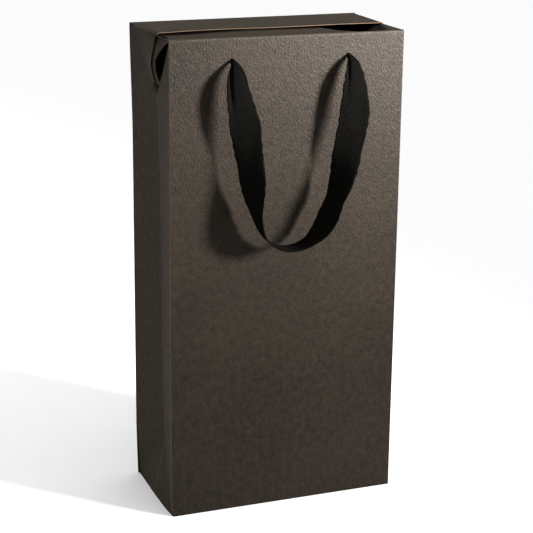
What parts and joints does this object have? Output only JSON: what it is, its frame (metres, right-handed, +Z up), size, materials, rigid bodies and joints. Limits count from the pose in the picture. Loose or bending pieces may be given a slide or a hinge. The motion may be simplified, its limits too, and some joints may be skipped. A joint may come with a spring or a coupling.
{
  "type": "wine gift bag",
  "caption": "Tall gusseted card gift bag for wine bottles, with a block bottom, a fold-over lid, folded-down side ears and hanging flat ribbon handles.",
  "frame": {"origin": "centre of the base, on the surface the bag stands on", "axes": "+Z up, +X to the right along the front, +Y from the front towards the back"},
  "size_m": [0.18, 0.1566, 0.36],
  "materials": {
    "card": "matte printed kraft card with a natural brown core",
    "ribbon": "herringbone-woven cotton tape"
  },
  "bodies": {
    "carton": {"front_panel": "card", "glue_flap": "card", "back_panel": "card", "back_foot": "card", "left_gusset_top": "card", "left_gusset_front": "card", "left_gusset_rear": "card", "left_gusset_foot": "card", "right_gusset_top": "card", "right_gusset_front": "card", "right_gusset_rear": "card", "right_gusset_foot": "card", "left_bottom_tuck": "card", "right_bottom_tuck": "card", "back_bottom_flap": "card", "front_bottom_flap": "card", "front_knot_left": "ribbon", "front_knot_right": "ribbon", "rear_knot_left": "ribbon", "rear_knot_right": "ribbon"},
    "lid": {"lid_panel": "card", "left_lid_wing": "card", "right_lid_wing": "card"},
    "front_flap": {"front_flap": "card", "left_front_web": "card", "right_front_web": "card"},
    "left_ear": {"left_ear": "card"},
    "right_ear": {"right_ear": "card"},
    "front_handle": {"front_handle": "ribbon"},
    "rear_handle": {"rear_handle": "ribbon"}
  },
  "joints": [
    {"name": "lid_fold", "type": "hinge", "parent": "carton", "child": "lid", "pos_m": [0, 0.045, 0.36], "axis": [-1, 0, 0], "range_deg": [0, 90]},
    {"name": "front_flap_fold", "type": "hinge", "parent": "carton", "child": "front_flap", "pos_m": [0, -0.045, 0.3592], "axis": [1, 0, 0], "range_deg": [0, 90]},
    {"name": "left_ear_fold", "type": "hinge", "parent": "carton", "child": "left_ear", "pos_m": [-0.08815, 0, 0.3584], "axis": [0, 1, 0], "range_deg": [0, 180], "deforming": ["left_ear"]},
    {"name": "right_ear_fold", "type": "hinge", "parent": "carton", "child": "right_ear", "pos_m": [0.08815, 0, 0.3584], "axis": [0, -1, 0], "range_deg": [0, 180], "deforming": ["right_ear"]},
    {"name": "front_handle_swing", "type": "hinge", "parent": "carton", "child": "front_handle", "pos_m": [0, -0.0465, 0.344], "axis": [-1, 0, 0], "range_deg": [0, 155]},
    {"name": "rear_handle_swing", "type": "hinge", "parent": "carton", "child": "rear_handle", "pos_m": [0, 0.0465, 0.344], "axis": [1, 0, 0], "range_deg": [0, 155]}
  ],
  "couplings": [
    {"joint": "front_flap_fold", "follows": "lid_fold", "ratio": 1},
    {"joint": "left_ear_fold", "follows": "lid_fold", "ratio": 2},
    {"joint": "right_ear_fold", "follows": "lid_fold", "ratio": 2}
  ]
}
